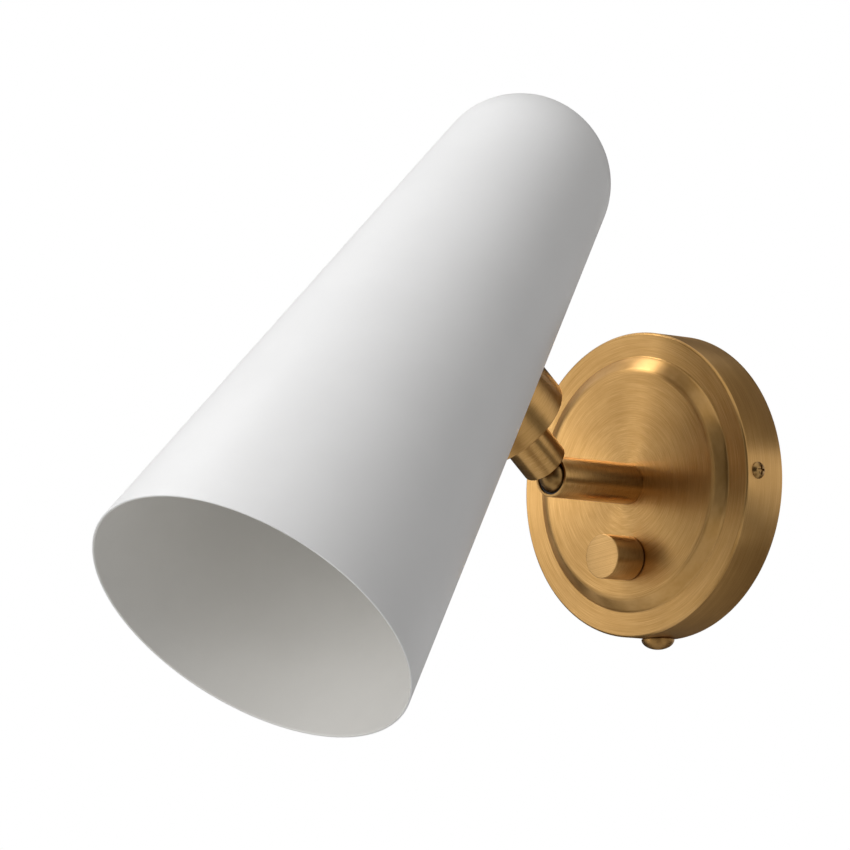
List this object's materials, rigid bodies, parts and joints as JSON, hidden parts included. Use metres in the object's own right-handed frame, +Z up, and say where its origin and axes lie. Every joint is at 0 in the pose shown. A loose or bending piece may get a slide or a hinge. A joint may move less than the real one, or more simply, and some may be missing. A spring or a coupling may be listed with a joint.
{
  "type": "wall sconce with swivelling shade",
  "caption": "Wall light with a long cone shade closed by a round end, on a ball-jointed brass arm and a round canopy with a dimmer knob.",
  "frame": {"origin": "on the wall, at the middle of the two box screw slots and on the axis of the canopy and the arm", "axes": "+Z up, +Y into the wall, so the lamp reaches out along -Y, and +X to the right of someone who faces the wall"},
  "size_m": [0.1324, 0.2772, 0.2532],
  "materials": {
    "brushed_brass": "satin brushed, lacquered",
    "plain_brass": "machined",
    "white_paint": "satin, powder coated inside and out",
    "zinc_steel": "zinc plated",
    "spring_steel": "oiled",
    "black_nylon": "smooth moulded",
    "black_phenolic": "moulded, semi-gloss",
    "insulator_board": "matt ceramic white",
    "connector_plastic": "moulded",
    "lead_insulation": "smooth flexible",
    "green_zinc": "green dyed"
  },
  "bodies": {
    "wall_body": {"canopy_shell": "brushed_brass", "wall_bracket": "zinc_steel", "side_screws": "brushed_brass", "ground_screw": "green_zinc", "cord_port_plug": "brushed_brass", "arm_tube": "brushed_brass", "arm_foot": "plain_brass", "arm_nipple": "plain_brass", "arm_lock_washer": "zinc_steel", "arm_nut": "zinc_steel", "ball_stop_plug": "plain_brass", "ball_disc_springs": "spring_steel", "dimmer_body": "black_phenolic", "dimmer_washer": "zinc_steel", "dimmer_nut": "zinc_steel", "supply_leads": "lead_insulation", "wire_connectors": "connector_plastic", "arm_leads": "lead_insulation"},
    "turn_body": {"ball_liner": "black_nylon"},
    "ball_body": {"ball_stud": "brushed_brass"},
    "head_body": {"knuckle_sleeve": "brushed_brass", "sleeve_set_screw": "spring_steel", "shade_cup": "brushed_brass", "cup_nipple": "plain_brass", "shade": "white_paint", "shade_end": "white_paint", "shade_saddle": "zinc_steel", "saddle_lock_washer": "zinc_steel", "saddle_nut": "zinc_steel", "lampholder_bracket": "zinc_steel", "lampholder_nipple": "plain_brass", "lampholder_nut": "zinc_steel", "lampholder_cap": "black_phenolic", "lampholder_body": "black_phenolic", "shell_insulator": "insulator_board", "screw_shell": "plain_brass", "centre_contact": "plain_brass", "head_leads": "lead_insulation"},
    "knob_body": {"dimmer_shaft": "plain_brass", "knob": "brushed_brass", "knob_set_screw": "spring_steel"}
  },
  "joints": [
    {"name": "head_turn", "type": "hinge", "parent": "wall_body", "child": "turn_body", "pos_m": [0, -0.0644, 0], "axis": [0, -1, 0], "range_deg": [-170, 170]},
    {"name": "head_tilt", "type": "hinge", "parent": "turn_body", "child": "ball_body", "pos_m": [0, -0.0644, 0], "axis": [-1, 0, 0], "range_deg": [-64, 3.5]},
    {"name": "head_twist", "type": "hinge", "parent": "ball_body", "child": "head_body", "pos_m": [0, -0.0644, 0], "axis": [0, -0.776, 0.6307], "range_deg": [-90, 90]},
    {"name": "knob_turn", "type": "hinge", "parent": "wall_body", "child": "knob_body", "pos_m": [0, -0.0312, -0.0293], "axis": [0, 1, 0], "range_deg": [0, 300]}
  ]
}
